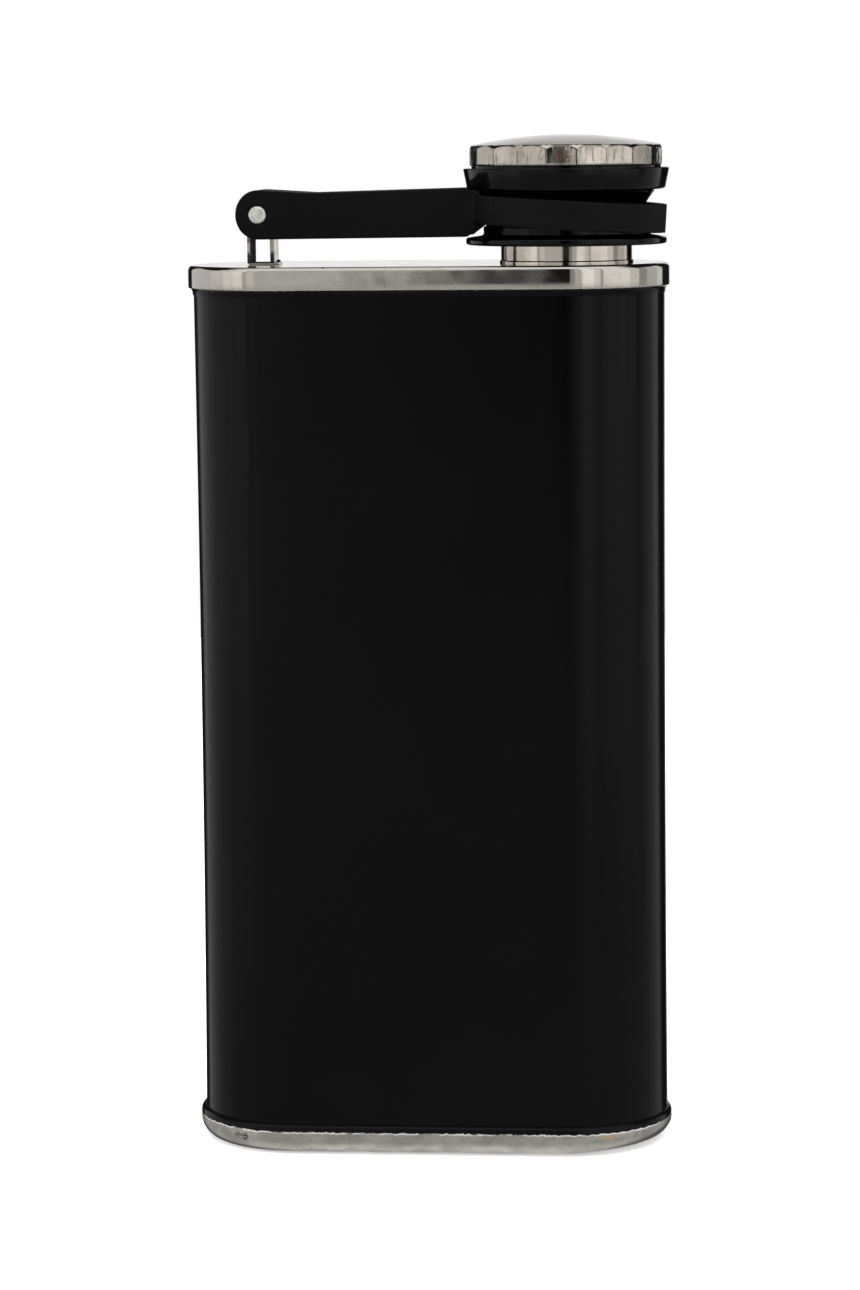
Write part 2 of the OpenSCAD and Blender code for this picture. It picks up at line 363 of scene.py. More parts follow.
def steel_look(n, grain=(1, 1, 1), base=STEEL, rough=0.1, waves=0.2 * MM):
    """Colour, roughness and bump of polished sheet steel: buffing grain, smears, specks and soft waves.

    waves is how far the sheet rises and falls over several millimetres."""
    grain_noise = n.noise(0.35 * MM, 2, place=n.scaled(*grain))
    smear = n.noise(4 * MM, 4, 0.6)
    speck = n.ramp(n.noise(0.45 * MM, 2), 0.68, 0.76)
    stain = n.mix(0.5, base, rgb(0.2, 0.17, 0.12))
    color = n.mix(n.ramp(smear, 0.35, 0.75, 0.0, 0.45), base, stain)
    color = n.mix(n.times(speck, 0.5), color, rgb(0.08, 0.075, 0.06))
    roughness = n.plus(n.ramp(smear, 0.3, 0.8, rough - 0.03, rough + 0.07),
                       n.times(grain_noise, 0.05))
    wave = n.bump(n.noise(7 * MM, 1), waves)
    normal = n.bump(grain_noise, 0.002 * MM, normal=wave)
    return color, roughness, normal


def polished_steel():
    """The neck's bright steel, with a painted dark reflection where it turns away from the view."""
    n = Nodes("polished_steel")
    color, rough, normal = steel_look(n, grain=(1, 1, 0.15), base=NECK_STEEL, rough=0.05, waves=0.12 * MM)
    # Painted reflection: near-black colour where the surface turns away from the view, standing in for the
    # dark surroundings mirrored there.
    painted_dark_edge = n.ramp(n.add("ShaderNodeLayerWeight").outputs["Facing"], 0.56, 0.62)
    return n.finish(n.mix(painted_dark_edge, color, rgb(0.02, 0.02, 0.02)), rough, normal, metallic=1.0)


def strap_steel():
    """Polished strip, darkened above its foot: painted shade inside its bend, tarnish in blotches on its -X
    leg, and darker low down.
    """
    n = Nodes("strap_steel")
    color, rough, normal = steel_look(n, base=NECK_STEEL, rough=0.12)
    along = n.minus(n.axis("X"), PIN_X)
    height = n.minus(n.axis("Z"), PLATE_Z)
    leg_face = -STRAP_INNER_R
    # Painted shade: the inner face of the -X leg is coloured dark, standing in for the other leg mirrored
    # in it.
    inner = n.times(n.ramp(along, leg_face - 0.25 * MM, leg_face - 0.09 * MM),
                   n.ramp(along, leg_face + 0.05 * MM, leg_face + 0.01 * MM))
    ragged = n.times(n.minus(n.noise(0.5 * MM, 3), 0.5), 1.6 * MM)
    low = n.ramp(n.plus(height, ragged), 2.3 * MM, 1.3 * MM)
    between = n.ramp(along, STRAP_OUTER_R + 0.11 * MM, STRAP_OUTER_R + 0.05 * MM)
    blotch = n.ramp(n.noise(0.8 * MM, 3), 0.42, 0.6)
    near_leg = n.times(n.ramp(along, leg_face + 0.11 * MM, leg_face + 0.01 * MM), blotch)
    dark = n.math("MAXIMUM", inner, n.times(low, between))
    dark = n.math("MAXIMUM", dark, n.times(near_leg, 0.6))
    dark = n.times(dark, n.ramp(height, 0.2 * MM, 0.26 * MM))
    # One dark colour serves as tarnish in the blotches and as painted shade on the inner face.
    color = n.mix(n.times(dark, 0.95), color, TARNISH_AND_SHADE)
    rough = n.plus(rough, n.times(dark, 0.5))
    metal = n.math("SUBTRACT", 1.0, dark, clamp=True)
    return n.finish(color, rough, normal, metallic=metal, specular_ior_level=0.1)


def cover_steel():
    """The cover's steel: painted shade along its creases, a rippled and stained band, and a brown patch on
    the front flute.
    """
    n = Nodes("cover_steel")
    crease_shade, stain, streak_dirt = rgb(0.03, 0.025, 0.02), rgb(0.3, 0.25, 0.22), rgb(0.1, 0.085, 0.075)
    brown = rgb(0.06, 0.03, 0.022)
    color, rough, normal = steel_look(n, grain=(1, 1, 0.1), base=COVER_STEEL, rough=0.09, waves=0.12 * MM)
    # Painted shade: the marked ridges and flute tops are coloured near-black, in uneven strength.
    crease = n.add("ShaderNodeAttribute", attribute_name="crease").outputs["Fac"]
    crease = n.times(crease, n.ramp(n.noise(1.5 * MM, 2), 0.3, 0.6, 0.4, 0.9))
    color = n.mix(crease, color, crease_shade)
    streak = n.ramp(n.noise(0.75 * MM, 3, stretch=(1, 1, 0.22)), 0.56, 0.72)
    cloud = n.ramp(n.noise(1.9 * MM, 3), 0.5, 0.66)
    on_band = n.ramp(n.axis("Z"), COVER_LO.z + 3.1 * MM, COVER_LO.z + 2.6 * MM)
    color = n.mix(n.times(on_band, n.times(cloud, 0.5)), color, stain)
    color = n.mix(n.times(on_band, n.times(streak, 0.75)), color, streak_dirt)
    patch = spot(n, CAP_X - 0.1 * MM, -14.9 * MM, COVER_LO.z + 1.5 * MM, 1.7 * MM)
    color = n.mix(n.times(patch, 0.85), color, brown)
    ripple = n.times(on_band, n.noise(1.7 * MM, 2, stretch=(1, 1, 0.5)))
    normal = n.bump(ripple, 0.12 * MM, normal=normal)
    metal = n.minus(1.0, n.times(patch, 0.4))
    return n.finish(color, rough, normal, metallic=metal)


def half_painted(n, steel, painted, gloss, coat=None):
    """Black paint over steel where painted is 1, with its edge standing a hair proud."""
    paint = paint_layers(n)
    color = n.mix(painted, steel[0], coat or paint[0])
    rough = n.mix(painted, steel[1], paint[1])
    normal = n.bump(painted, 0.03 * MM, normal=steel[2])
    metal = n.minus(1.0, painted)
    return n.finish(color, rough, normal, metallic=metal, specular_ior_level=gloss)


def top_steel():
    """Polished band and plate, with a painted dark reflection of the lever on the front edge and paint over
    the lip below the band.
    """
    n = Nodes("top_steel")
    color, rough, normal = steel_look(n, grain=(0.08, 0.08, 1), rough=0.045, waves=0.04 * MM)
    # Painted reflection: a dark spot on the plate's front edge under the lever, standing in for the lever's
    # underside mirrored there.
    reflection_x, reflection_y, reflection_size = -14.6 * MM, -15.3 * MM, 0.5 * MM
    painted_reflection_spot = spot(n, reflection_x, reflection_y, PLATE_Z, reflection_size)
    steel = (n.mix(painted_reflection_spot, color, rgb(0.01, 0.01, 0.01)), rough, normal)
    edge_z = PLATE_Z - BAND_H
    ragged = n.times(n.minus(n.noise(0.9 * MM, 3, 0.6), 0.5), 0.35 * MM)
    height = n.plus(n.axis("Z"), ragged)
    painted = n.ramp(height, edge_z + 0.04 * MM, edge_z - 0.04 * MM)
    return half_painted(n, steel, painted, PAINT_GLOSS)


def paint_layers(n):
    """Colour, roughness and bump of the black paint: faint orange peel, dust nibs and wear marks."""
    peel = n.noise(1.6 * MM, 2)
    haze = n.noise(30 * MM, 3)
    nib = n.ramp(n.cells(6 * MM), 0.0, 0.035, 1.0, 0.0)
    color = n.mix(n.ramp(haze, 0.4, 0.7), PAINT, RUBBED_PAINT)
    rough = n.plus(n.ramp(haze, 0.3, 0.7, 0.13, 0.18), n.times(peel, 0.04))
    height = n.plus(n.times(peel, 0.5), nib)
    return color, rough, n.bump(height, 0.004 * MM)


def body_paint():
    """The tube's gloss black paint."""
    n = Nodes("body_paint")
    color, rough, normal = paint_layers(n)
    return n.finish(color, rough, normal, specular_ior_level=PAINT_GLOSS)


def bottom_steel():
    """Satin steel with smudges, a scuff and a stain, below a ragged paint edge chipped to bare metal; the
    paint on the shoulder is lightened as painted light.
    """
    n = Nodes("bottom_steel")
    bright, smudged = rgb(0.52, 0.5, 0.45), rgb(0.36, 0.345, 0.315)
    scratched, yellow, bare_metal = rgb(0.06, 0.06, 0.05), rgb(0.66, 0.43, 0.15), rgb(1.0, 0.98, 0.93)
    grain = n.noise(0.3 * MM, 2, place=n.scaled(0.1, 0.1, 1))
    smear = n.noise(2.2 * MM, 4, 0.65, place=n.scaled(0.6, 1, 1))
    color = n.mix(n.ramp(smear, 0.3, 0.7), bright, smudged)
    scuff = n.math("MAXIMUM", spot(n, -29.8 * MM, -13.4 * MM, 2.65 * MM, 0.8 * MM),
                   spot(n, -28.7 * MM, -14.1 * MM, 2.45 * MM, 0.8 * MM))
    stain = spot(n, 27.8 * MM, -14.5 * MM, 3.5 * MM, 1.1 * MM)
    color = n.mix(n.times(scuff, n.ramp(grain, 0.35, 0.6)), color, scratched)
    color = n.mix(n.times(stain, 0.6), color, yellow)
    rough = n.plus(n.ramp(smear, 0.3, 0.7, 0.26, 0.34), n.times(grain, 0.05))
    edge_z = BASE_PAINT_Z
    ragged = n.times(n.minus(n.noise(0.9 * MM, 4, 0.7), 0.5), 0.7 * MM)
    height = n.plus(n.axis("Z"), ragged)
    painted = n.ramp(height, edge_z - 0.05 * MM, edge_z + 0.05 * MM)
    from_fringe = n.math("ABSOLUTE", n.minus(height, edge_z - 0.08 * MM))
    fringe = n.ramp(from_fringe, 0.05 * MM, 0.2 * MM, 1.0, 0.0)
    fringe = n.times(fringe, n.ramp(n.noise(3 * MM, 2), 0.4, 0.52))
    color = n.mix(fringe, color, bare_metal)
    steel = (color, rough, n.bump(grain, 0.003 * MM))
    # The shoulder's paint is the lightened copy: painted light.
    return half_painted(n, steel, painted, SHOULDER_GLOSS, coat=LIGHTENED_SHOULDER_PAINT)


def pin_steel():
    """The rivet's turned and dulled end."""
    n = Nodes("pin_steel")
    turned = n.noise(0.25 * MM, 3, 0.6, stretch=(1, 0.1, 1))
    blotch = n.noise(0.9 * MM, 3)
    color = n.mix(n.ramp(blotch, 0.3, 0.7), rgb(0.74, 0.74, 0.69), rgb(0.52, 0.52, 0.48))
    rough = n.ramp(turned, 0.3, 0.7, 0.45, 0.6)
    return n.finish(color, rough, n.bump(turned, 0.01 * MM), metallic=0.8)


def matte_plastic():
    """The lever's fine-grained black plastic, greyer along its edges from wear and a painted sheen."""
    n = Nodes("matte_plastic")
    texture = n.noise(0.22 * MM, 3, 0.6)
    cloud = n.noise(9 * MM, 3)
    # Greyer convex edges: partly wear, partly a painted sheen where light would catch the edges.
    edge_wear_and_sheen = n.times(n.edges(0.53, 0.6), n.ramp(n.noise(1.5 * MM, 3), 0.45, 0.65))
    black, dusty, wear_and_sheen_grey = rgb(0.0024, 0.0024, 0.0025), rgb(0.0032, 0.0032, 0.0033), rgb(0.02, 0.02, 0.02)
    color = n.mix(n.ramp(cloud, 0.3, 0.7), black, dusty)
    color = n.mix(n.times(edge_wear_and_sheen, 0.5), color, wear_and_sheen_grey)
    rough = n.minus(n.ramp(cloud, 0.3, 0.7, 0.56, 0.66), n.times(edge_wear_and_sheen, 0.15))
    return n.finish(color, rough, n.bump(texture, 0.012 * MM), specular_ior_level=0.085)


def gloss_plastic():
    """The cap's glossy black plastic, with faint swirls from handling."""
    n = Nodes("gloss_plastic")
    swirl = n.noise(3 * MM, 4, 0.6)
    fine = n.noise(0.5 * MM, 2)
    color = n.mix(n.ramp(swirl, 0.4, 0.7), rgb(0.0005, 0.0005, 0.0006), rgb(0.0012, 0.0012, 0.0013))
    rough = n.ramp(swirl, 0.3, 0.7, 0.07, 0.13)
    normal = n.bump(swirl, 0.04 * MM, normal=n.bump(fine, 0.003 * MM))
    return n.finish(color, rough, normal, specular_ior_level=0.14)


def silicone():
    """The seal's milky silicone, a little translucent."""
    n = Nodes("silicone")
    cloud = n.noise(3 * MM, 3)
    ring = n.ramp(n.noise(0.4 * MM, 2), 0.3, 0.7)
    color = n.mix(cloud, rgb(0.62, 0.6, 0.55), rgb(0.7, 0.68, 0.63))
    rough = n.ramp(cloud, 0.3, 0.7, 0.4, 0.5)
    normal = n.bump(ring, 0.006 * MM)
    return n.finish(color, rough, normal, subsurface_weight=0.2, subsurface_scale=1.5 * MM)


# ---------------------------------------------------------------- flask body

SHEET = 0.7 * MM
TUBE_WALL = 0.5 * MM


def waist(z):
    """How far the tube's +X and -X ends draw in at height z, most half way up. The +X end flares below."""
    share = (z - TUBE_LO.z) / (TUBE_HI.z - TUBE_LO.z)
    bow = 4 * share * (1 - share)
    flare = 0.15 * MM * (1 - share)
    return 0.14 * MM * bow - flare, 0.26 * MM * bow


def make_body_tube(material):
    """The tube, open at both ends."""
    bm = bmesh.new()
    outer = line((TUBE_R, TUBE_LO.z), (TUBE_R, TUBE_HI.z), 32) + [(TUBE_R, TUBE_HI.z)]
    inner = [(TUBE_R - TUBE_WALL, z) for r, z in reversed(outer)]
    join_rings(bm, [outline_ring(bm, r, z, waist(z)) for r, z in outer + inner], True)
    return finish_mesh(bm, "painted_tube", material)


def make_bottom_cap(material):
    """The base pan: a panel pressed in, a foot, a band and a painted shoulder. Its +X end turns up."""
    edge_r, recess, bend = 2.9 * MM, 0.8 * MM, 0.3 * MM
    foot_in = RIM_R - 4.8 * MM
    low = BASE_LO.z
    under = [(foot_in - recess - bend, low + recess)]
    under += arc(foot_in - recess - bend, low + recess - bend, bend, bend, 80, 45, 3)
    under += arc(foot_in + bend, low + bend, bend, bend, 225, 270, 4)
    under += arc(RIM_R - edge_r, low + edge_r, edge_r, edge_r, -90, 0, 18)
    under += line((RIM_R, low + edge_r), (RIM_R, BASE_BAND_TOP), 4)[1:]
    under += arc(SKIRT_R, BASE_BAND_TOP, RIM_R - SKIRT_R, BASE_HI.z - BASE_BAND_TOP, 0, 88, 12)
    inside = [(SKIRT_R, BASE_HI.z - 0.05 * MM)]
    inside += arc(RIM_R - edge_r, low + edge_r, SKIRT_R - RIM_R + edge_r, edge_r - SHEET, 0, -90, 8)
    inside += [(foot_in + SHEET / 2, low + SHEET), (foot_in - SHEET / 2, low + recess + SHEET)]
    bm = bmesh.new()
    rings = [outline_ring(bm, r, z) for r, z in under + inside]
    join_rings(bm, rings, False)
    fill_across(bm, rings[0])
    fill_across(bm, rings[-1])
    bent_up = 0.5 * MM
    for v in bm.verts:
        toward_end = smooth_share(v.co.x, 18 * MM, 34 * MM)
        near_foot = 1 - smooth_share(v.co.z - low, 1.2 * MM, 3.6 * MM)
        v.co.z += bent_up * toward_end * near_foot
    return finish_mesh(bm, "base_pan", material)


def make_top_cap(material):
    """The top pan: a flat plate with the neck's hole, a rounded edge, a polished band and a painted lip."""
    edge_r, soft = 0.85 * MM, 0.2 * MM
    hole_r = NECK_R + 0.02 * MM
    lip_z = PLATE_Z - BAND_H
    lip_run, lip_drop = RIM_R - soft - SKIRT_R - 0.08 * MM, lip_z - TOP_LO.z - 0.02 * MM
    outer = [(RIM_R - edge_r - 0.6 * MM, PLATE_Z)]
    outer += arc(RIM_R - edge_r, PLATE_Z - edge_r, edge_r, edge_r, 90, 0, 14)
    outer += [(RIM_R, lip_z + 1.2 * MM)]
    outer += arc(RIM_R - soft, lip_z + soft, soft, soft, 0, -80, 5)
    outer += arc(RIM_R - soft, TOP_LO.z, lip_run, lip_drop, 92, 178, 10)
    inner = [(SKIRT_R, TOP_LO.z), (SKIRT_R, PLATE_Z - SHEET)]
    bm = bmesh.new()
    rings = [outline_ring(bm, r, z) for r, z in outer + inner]
    join_rings(bm, rings, False)
    holes = []
    for z in (PLATE_Z, PLATE_Z - SHEET):
        holes.append([bm.verts.new((CAP_X + hole_r * math.cos(t), hole_r * math.sin(t), z))
                      for t in turns(96)])
    fill_with_hole(bm, rings[0], holes[0])
    fill_with_hole(bm, rings[-1], holes[1])
    join_rings(bm, holes, False)
    return finish_mesh(bm, "top_pan", material)


# ---------------------------------------------------------------- neck

NECK_R = 10.05 * MM
MOUTH_R = 8.9 * MM
PITCH = 2 * MM
THREAD_FOOT = PLATE_Z + 3.9 * MM


def helix(z, t, foot, rounds):
    """How far into a helical thread's groove a point lies, from 0 to 1, faded out at both ends."""
    along = (z - foot) / PITCH - t / (2 * math.pi)
    wave = 0.5 - 0.5 * math.cos(2 * math.pi * along)
    groove = min(1.0, max(0.0, (wave - 0.25) / 0.5))
    fade = min(1.0, max(0.0, along * 4)) * min(1.0, max(0.0, (rounds - along) * 4))
    return groove * fade


def make_neck(material):
    """The neck: a flange under the plate, a threaded wall and a rounded lip."""
    lip, flange_r, flange_t, depth = 0.35 * MM, 11.2 * MM, 0.7 * MM, 0.4 * MM
    under = PLATE_Z - SHEET

    def thread(r, z, t):
        if r > NECK_R - 1e-6 and z > THREAD_FOOT - 0.5 * MM:
            r -= depth * helix(z, t, THREAD_FOOT, rounds=3.2)
        return r, z

    top = NECK_HI.z
    profile = [(MOUTH_R, under - flange_t), (flange_r, under - flange_t)]
    profile += [(flange_r, under), (NECK_R, under)]
    profile += line((NECK_R, PLATE_Z), (NECK_R, top - lip), 90)
    profile += arc(NECK_R - lip, top - lip, lip, lip, 0, 90, 6)
    profile += arc(MOUTH_R + lip, top - lip, lip, lip, 90, 180, 6)
    bm = bmesh.new()
    revolve(bm, profile, 192, shape=thread)
    return finish_mesh(bm, "threaded_neck", material, 50)


def make_seam(material):
    """A low solder bead round the neck's foot, a little uneven by hand."""
    radius = SEAM_HI.x - CAP_X
    round_r, round_h = 0.22 * MM, 0.25 * MM

    def uneven(r, z, t):
        wobble = noise.noise(Vector((math.cos(t) * 3, math.sin(t) * 3, 0)))
        if r > NECK_R + 1e-6:
            r -= 0.06 * MM * abs(wobble)
        if z > PLATE_Z + 0.1 * MM:
            z -= 0.08 * MM * abs(wobble)
        return r, z

    profile = [(NECK_R, SEAM_LO.z), (radius, SEAM_LO.z)]
    profile += arc(radius - round_r, SEAM_HI.z - round_h, round_r, round_h, 0, 90, 6)
    profile += [(NECK_R, SEAM_HI.z)]
    bm = bmesh.new()
    revolve(bm, profile, 128, shape=uneven)
    return finish_mesh(bm, "neck_bead", material, 60)


# ---------------------------------------------------------------- hinge

def make_strap(material):
    """A strip bent round the pin, with a foot on the plate and a blob of weld behind its leg."""
    outer_r, inner_r = STRAP_OUTER_R, STRAP_INNER_R
    foot = STRAP_HI.x - PIN_X
    base = PLATE_Z - PIN_Z
    top = base + 0.3 * MM
    splay, half = 0.12 * MM, (STRAP_HI.y - STRAP_LO.y) / 2
    bend, inner_bend = 0.45 * MM, 0.15 * MM
    outer = [(foot, base), (foot - 0.3 * MM, base)]
    outer += arc(-outer_r + bend, base + bend, bend, bend, 270, 180, 6)
    outer += arc(0, 0, outer_r, outer_r, 180, 0, 32) + [(outer_r + splay, top + 0.01 * MM)]
    inner = [(foot, top), (foot - 0.3 * MM, top)]
    inner += arc(-inner_r + inner_bend, top + inner_bend, inner_bend, inner_bend, 270, 180, 6)
    inner += arc(0, 0, inner_r, inner_r, 180, 0, 32) + [(inner_r + splay, top + 0.01 * MM)]
    bm = bmesh.new()
    corners = []
    for outline, y in ((outer, -half), (inner, -half), (inner, half), (outer, half)):
        corners.append([bm.verts.new((PIN_X + x, y, PIN_Z + z)) for x, z in outline])
    for a, b in zip(corners, corners[1:] + corners[:1]):
        for j in range(len(a) - 1):
            bm.faces.new((a[j], a[j + 1], b[j + 1], b[j]))
    for j in (0, -1):
        bm.faces.new([loop[j] for loop in corners])
    piece = finish_mesh(bm, "pin_strap", material)
    bevel = piece.modifiers.new("soft", "BEVEL")
    bevel.width = 0.07 * MM
    bevel.segments = 3
    bevel.limit_method = "ANGLE"
    bevel.angle_limit = math.radians(50)
    apply_modifiers(piece)
    add_weld(piece, Vector((PIN_X + outer_r + splay + 0.1 * MM, half - 0.5 * MM, PLATE_Z)))
    return piece


def add_weld(piece, place):
    """Adds a lumpy blob of weld, cut off flat at its foot, to a piece's mesh."""
    bm = bmesh.new()
    bm.from_mesh(piece.data)
    size = Vector((0.34, 0.45, 0.62)) * MM
    blob = bmesh.ops.create_uvsphere(bm, u_segments=20, v_segments=12, radius=1)["verts"]
    for v in blob:
        lump = 1 + 0.15 * noise.noise(v.co * 2)
        v.co = Vector(a * b * lump for a, b in zip(v.co, size))
        v.co.z = max(v.co.z, 0.02 * MM)
        v.co += place
    bm.to_mesh(piece.data)
    bm.free()


def make_pin(material):
    """The rivet pin, slightly domed and chamfered at both ends."""
    half = (PIN_HI.y - PIN_LO.y) / 2
    end, crown = 0.12 * MM, 0.06 * MM
    profile = [(0, -half), (PIN_R * 0.6, -half + crown / 3), (PIN_R - end, -half + crown)]
    profile += [(PIN_R, -half + crown + end), (PIN_R, half - crown - end)]
    profile += [(PIN_R - end, half - crown), (PIN_R * 0.6, half - crown / 3), (0, half)]
    bm = bmesh.new()
    rings = []
    for r, y in profile:
        if r == 0:
            rings.append([bm.verts.new((PIN_X, y, PIN_Z))])
        else:
            rings.append([bm.verts.new((PIN_X + r * math.cos(t), y, PIN_Z + r * math.sin(t)))
                          for t in turns(48)])
    join_rings(bm, rings, False)
    return finish_mesh(bm, "rivet_pin", material, 50)


# ---------------------------------------------------------------- lever

def make_lever(material):
    """The CAD lever with its edges softened, its arm run into its ring, and a well round each pin end."""
    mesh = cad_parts["lever"].data.copy()
    piece = bpy.data.objects.new("lever_moulding", mesh)
    bpy.context.scene.collection.objects.link(piece)
    bm = bmesh.new()
    bm.from_mesh(mesh)
    bmesh.ops.remove_doubles(bm, verts=bm.verts, dist=1e-6)
    bm.to_mesh(mesh)
    bm.free()
    remesh = piece.modifiers.new("even", "REMESH")
    remesh.mode = "VOXEL"
    remesh.voxel_size = 0.14 * MM
    apply_modifiers(piece)
    junction_x = CAP_X - 13.8 * MM
    junction_y = 6.5 * MM
    middle_z = PIN_Z + 0.2 * MM
    blend = piece.vertex_groups.new(name="blend")
    for v in piece.data.vertices:
        off = math.hypot(v.co.x - junction_x, abs(v.co.y) - junction_y)
        rise = abs(v.co.z - middle_z)
        weight = (1 - smooth_share(off, 1.5 * MM, 4 * MM)) * (1 - smooth_share(rise, 1.3 * MM, 2.1 * MM))
        if weight > 0:
            blend.add([v.index], weight, "REPLACE")
    run_in = piece.modifiers.new("run_in", "SMOOTH")
    run_in.vertex_group = "blend"
    run_in.factor = 1.0
    run_in.iterations = 150
    soften = piece.modifiers.new("soften", "SMOOTH")
    soften.factor = 0.5
    soften.iterations = 9
    apply_modifiers(piece)
    well_depth = 0.25 * MM
    for v in piece.data.vertices:
        reach = math.hypot(v.co.x - PIN_X, v.co.z - PIN_Z)
        face = smooth_share(abs(v.co.y), 6.0 * MM, 6.4 * MM)
        well = 1 - smooth_share(reach, PIN_R + 0.12 * MM, PIN_R + 0.26 * MM)
        v.co.y -= math.copysign(well_depth * face * well, v.co.y)
    piece.vertex_groups.clear()
    piece.data.materials.clear()
    piece.data.materials.append(material)
    piece.data.shade_smooth()
    return piece


# ---------------------------------------------------------------- cap

COLLAR_TOP = COVER_LO.z - 0.35 * MM
COLLAR_Z = COLLAR_TOP - 3.35 * MM
COLLAR_R = (BODY_HI.x - BODY_LO.x) / 2
COVER_R = (COVER_HI.x - COVER_LO.x) / 2
BORE_R = (SEAL_HI.x - SEAL_LO.x) / 2
RETAINER_R = (RETAINER_HI.x - RETAINER_LO.x) / 2
SEAT_R = 11.8 * MM
HUB_R = 12.3 * MM
CORE_R = 13.55 * MM


def make_cap_body(material):
    """Collar, cone, hub and core in one moulding, with a helical thread inside."""
    depth, foot = 0.4 * MM, RETAINER_LO.z + 1.6 * MM
    ceiling = SEAL_HI.z
    cone_r, low_r = 13.5 * MM, 15.25 * MM
    soft, edge = 0.55 * MM, 0.25 * MM
    low_z = RETAINER_LO.z + 0.2 * MM

    def thread(r, z, t):
        if abs(r - BORE_R) < 1e-6 and foot - 0.5 * MM < z < SEAL_LO.z - 0.3 * MM:
            r += depth * helix(z, t, foot, rounds=3.4)
        return r, z

    profile = [(0, ceiling), (BORE_R, ceiling)]
    profile += line((BORE_R, SEAL_LO.z), (BORE_R, low_z + 0.2 * MM), 80)
    profile += [(BORE_R + 0.2 * MM, low_z), (SEAT_R, low_z), (SEAT_R, RETAINER_HI.z)]
    profile += [(HUB_R, RETAINER_HI.z), (HUB_R, COLLAR_Z - 1.9 * MM)]
    profile += arc(cone_r - edge, COLLAR_Z - 0.3 * MM, edge, 0.3 * MM, 0, 80, 4)
    profile += arc(low_r - soft, COLLAR_Z + soft, soft, soft, -90, -8, 10)
    profile += arc(COLLAR_R - edge, COLLAR_TOP - edge, edge, edge, 0, 90, 6)
    seat_r, seat_z = COVER_R - 0.3 * MM, COVER_LO.z - 0.02 * MM
    core_z = COVER_LO.z + 2.4 * MM
    profile += [(seat_r, COLLAR_TOP), (seat_r, seat_z), (CORE_R, seat_z), (CORE_R, core_z)]
    profile += [(CORE_R - 0.5 * MM, core_z + 0.2 * MM), (0, COVER_HI.z - 0.6 * MM)]
    bm = bmesh.new()
    revolve(bm, profile, 192, shape=thread)
    return finish_mesh(bm, "cap_moulding", material, 40)


def make_retainer(material):
    """The flange that holds the lever's ring on the hub, with its sleeve."""
    soft, edge_t, sleeve = 0.38 * MM, 1.1 * MM, 12.7 * MM
    low = RETAINER_LO.z
    top = RETAINER_HI.z
    slope_z = low + edge_t + 0.35 * MM
    profile = [(SEAT_R, low), (SEAT_R + 0.8 * MM, low)]
    profile += arc(RETAINER_R - soft, low + soft, soft, soft, -90, 0, 8)
    profile += arc(RETAINER_R - soft, low + edge_t - soft, soft, soft, 0, 80, 8)
    profile += [(sleeve + 0.3 * MM, slope_z - 0.02 * MM), (sleeve, slope_z + 0.2 * MM)]
    profile += [(sleeve, top - 0.15 * MM), (sleeve - 0.15 * MM, top), (SEAT_R, top)]
    bm = bmesh.new()
    revolve(bm, profile, 160)
    return finish_mesh(bm, "lower_flange", material, 40)


FLUTES = 20
FLUTE_DEPTH = 0.08 * MM


def flute_limit(t):
    """How far out the cover reaches at angle t: shallow flutes that meet in ridges, one facing front."""
    half = math.pi / FLUTES
    local = (t + half) % (2 * half) - half
    across = COVER_R * math.sin(half)
    flute_r = (FLUTE_DEPTH * FLUTE_DEPTH + across * across) / (2 * FLUTE_DEPTH)
    centre = COVER_R * math.cos(half) - FLUTE_DEPTH + flute_r
    return centre * math.cos(local) - math.sqrt(flute_r ** 2 - (centre * math.sin(local)) ** 2)


